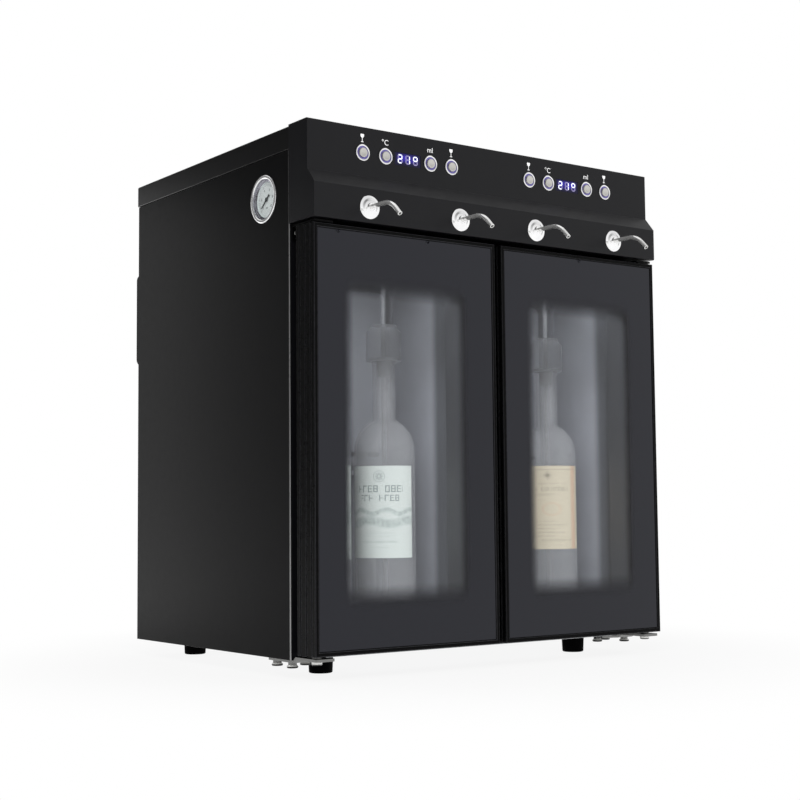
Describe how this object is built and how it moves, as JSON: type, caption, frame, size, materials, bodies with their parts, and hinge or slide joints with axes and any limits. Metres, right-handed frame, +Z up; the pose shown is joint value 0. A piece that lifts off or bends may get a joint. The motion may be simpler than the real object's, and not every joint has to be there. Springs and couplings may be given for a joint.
{
  "type": "wine preservation dispenser",
  "caption": "Countertop wine dispenser: two cooled compartments with black glass doors under a sloping tap head with push buttons, displays and a pressure gauge.",
  "frame": {"origin": "on the counter under the middle of the part's box, so X = 0 is midway between the two doors", "axes": "+Z up, the doors and taps face -Y, +X to the right of someone who faces the doors"},
  "size_m": [0.5371, 0.5378, 0.633],
  "materials": {
    "charcoal_paint": "fine satin texture paint on folded steel",
    "galvanised_sheet": "bare zinc-coated sheet",
    "liner_plastic": "satin moulded grey plastic",
    "foam": "rigid foam",
    "black_plastic": "satin moulded black plastic",
    "black_rubber": "matt rubber",
    "door_frame_black": "satin black anodised extrusion",
    "black_glass": "black printed glass, clear in the window",
    "bottle_glass": "pale grey translucent glass",
    "stopper_plastic": "pale grey translucent plastic",
    "light_lens": "opal lens over white light diodes",
    "clear_tube": "translucent food-grade tube",
    "blue_tube": "gas tube",
    "valve_plastic": "moulded body with a wound coil",
    "brass_fittings": "turned brass",
    "nickel_fitting": "nickel-plated brass",
    "bare_aluminium": "extruded, as sawn",
    "fan_plastic": "glass-filled black plastic",
    "fascia_paint": "satin paint",
    "board_green": "solder-masked board",
    "display_blue": "back-lit blue segment display",
    "satin_steel": "satin stainless steel",
    "ring_light": "clear light guide",
    "button_steel": "satin stainless steel",
    "tap_steel": "polished stainless steel",
    "gauge_chrome": "polished bezel",
    "dial_face": "pale dial plate with a scale",
    "needle_black": "matt black",
    "clear_glass": "clear",
    "hinge_paint": "black paint",
    "zinc_screws": "zinc-plated"
  },
  "bodies": {
    "cabinet": {"side_panel_left": "charcoal_paint", "side_panel_right": "charcoal_paint", "top_cover": "charcoal_paint", "back_panel": "galvanised_sheet", "base_plate": "galvanised_sheet", "feet": "black_rubber", "front_frame": "hinge_paint", "liner_left": "liner_plastic", "liner_right": "liner_plastic", "insulation": "foam", "bottle_trays": "liner_plastic", "light_bars": "light_lens", "bottles": "bottle_glass", "stoppers": "stopper_plastic", "wine_tubes": "clear_tube", "gas_tubes": "blue_tube", "wine_valves": "valve_plastic", "gas_manifold": "brass_fittings", "gas_inlet": "nickel_fitting", "power_inlet": "black_plastic", "power_supply": "galvanised_sheet", "cooling_stacks": "bare_aluminium", "heat_sinks": "bare_aluminium", "duct_covers": "liner_plastic", "rear_cover": "charcoal_paint", "rear_fan_frames": "fan_plastic", "fascia": "fascia_paint", "control_board": "board_green", "displays": "display_blue", "button_bezels": "satin_steel", "button_light_rings": "ring_light", "tap_spouts": "tap_steel", "tap_rosettes": "tap_steel", "gauge_case": "gauge_chrome", "gauge_dial": "dial_face", "gauge_lens": "clear_glass", "hinge_plates": "hinge_paint", "hinge_pins": "satin_steel", "screws": "zinc_screws"},
    "door_left": {"door_frame_left": "door_frame_black", "door_glazing_left": "black_glass", "door_liner_left": "liner_plastic", "door_gasket_left": "black_rubber"},
    "door_right": {"door_frame_right": "door_frame_black", "door_glazing_right": "black_glass", "door_liner_right": "liner_plastic", "door_gasket_right": "black_rubber"},
    "button_1": {"button_1": "button_steel"},
    "button_2": {"button_2": "button_steel"},
    "button_3": {"button_3": "button_steel"},
    "button_4": {"button_4": "button_steel"},
    "button_5": {"button_5": "button_steel"},
    "button_6": {"button_6": "button_steel"},
    "button_7": {"button_7": "button_steel"},
    "button_8": {"button_8": "button_steel"},
    "gauge_needle": {"gauge_needle": "needle_black"},
    "rear_rotor_left": {"rear_rotor_left": "fan_plastic"},
    "circulation_rotor_left": {"circulation_rotor_left": "fan_plastic"},
    "rear_rotor_right": {"rear_rotor_right": "fan_plastic"},
    "circulation_rotor_right": {"circulation_rotor_right": "fan_plastic"}
  },
  "joints": [
    {"name": "door_left_hinge", "type": "hinge", "parent": "cabinet", "child": "door_left", "pos_m": [-0.255, -0.18789, 0.26995], "axis": [0, 0, -1], "range_deg": [0, 110]},
    {"name": "door_right_hinge", "type": "hinge", "parent": "cabinet", "child": "door_right", "pos_m": [0.255, -0.18789, 0.26995], "axis": [0, 0, 1], "range_deg": [0, 110]},
    {"name": "button_1_press", "type": "slide", "parent": "cabinet", "child": "button_1", "axis": [0, 1, 0], "range_m": [0, 0.001], "stiffness_N_per_m": 400, "springref_m": -0.0015},
    {"name": "button_2_press", "type": "slide", "parent": "cabinet", "child": "button_2", "axis": [0, 1, 0], "range_m": [0, 0.001], "stiffness_N_per_m": 400, "springref_m": -0.0015},
    {"name": "button_3_press", "type": "slide", "parent": "cabinet", "child": "button_3", "axis": [0, 1, 0], "range_m": [0, 0.001], "stiffness_N_per_m": 400, "springref_m": -0.0015},
    {"name": "button_4_press", "type": "slide", "parent": "cabinet", "child": "button_4", "axis": [0, 1, 0], "range_m": [0, 0.001], "stiffness_N_per_m": 400, "springref_m": -0.0015},
    {"name": "button_5_press", "type": "slide", "parent": "cabinet", "child": "button_5", "axis": [0, 1, 0], "range_m": [0, 0.001], "stiffness_N_per_m": 400, "springref_m": -0.0015},
    {"name": "button_6_press", "type": "slide", "parent": "cabinet", "child": "button_6", "axis": [0, 1, 0], "range_m": [0, 0.001], "stiffness_N_per_m": 400, "springref_m": -0.0015},
    {"name": "button_7_press", "type": "slide", "parent": "cabinet", "child": "button_7", "axis": [0, 1, 0], "range_m": [0, 0.001], "stiffness_N_per_m": 400, "springref_m": -0.0015},
    {"name": "button_8_press", "type": "slide", "parent": "cabinet", "child": "button_8", "axis": [0, 1, 0], "range_m": [0, 0.001], "stiffness_N_per_m": 400, "springref_m": -0.0015},
    {"name": "gauge_needle_turn", "type": "hinge", "parent": "cabinet", "child": "gauge_needle", "pos_m": [-0.2633, -0.09589, 0.556], "axis": [1, 0, 0], "range_deg": [0, 270], "stiffness_Nm_per_rad": 0.0005, "springref_deg": -11.46},
    {"name": "rear_rotor_left_spin", "type": "hinge", "parent": "cabinet", "child": "rear_rotor_left", "pos_m": [-0.125, 0.24791, 0.4535], "axis": [0, 1, 0], "continuous": true},
    {"name": "circulation_rotor_left_spin", "type": "hinge", "parent": "cabinet", "child": "circulation_rotor_left", "pos_m": [-0.135, 0.00111, 0.43], "axis": [0, 1, 0], "continuous": true},
    {"name": "rear_rotor_right_spin", "type": "hinge", "parent": "cabinet", "child": "rear_rotor_right", "pos_m": [0.125, 0.24791, 0.4535], "axis": [0, 1, 0], "continuous": true},
    {"name": "circulation_rotor_right_spin", "type": "hinge", "parent": "cabinet", "child": "circulation_rotor_right", "pos_m": [0.135, 0.00111, 0.43], "axis": [0, 1, 0], "continuous": true}
  ]
}
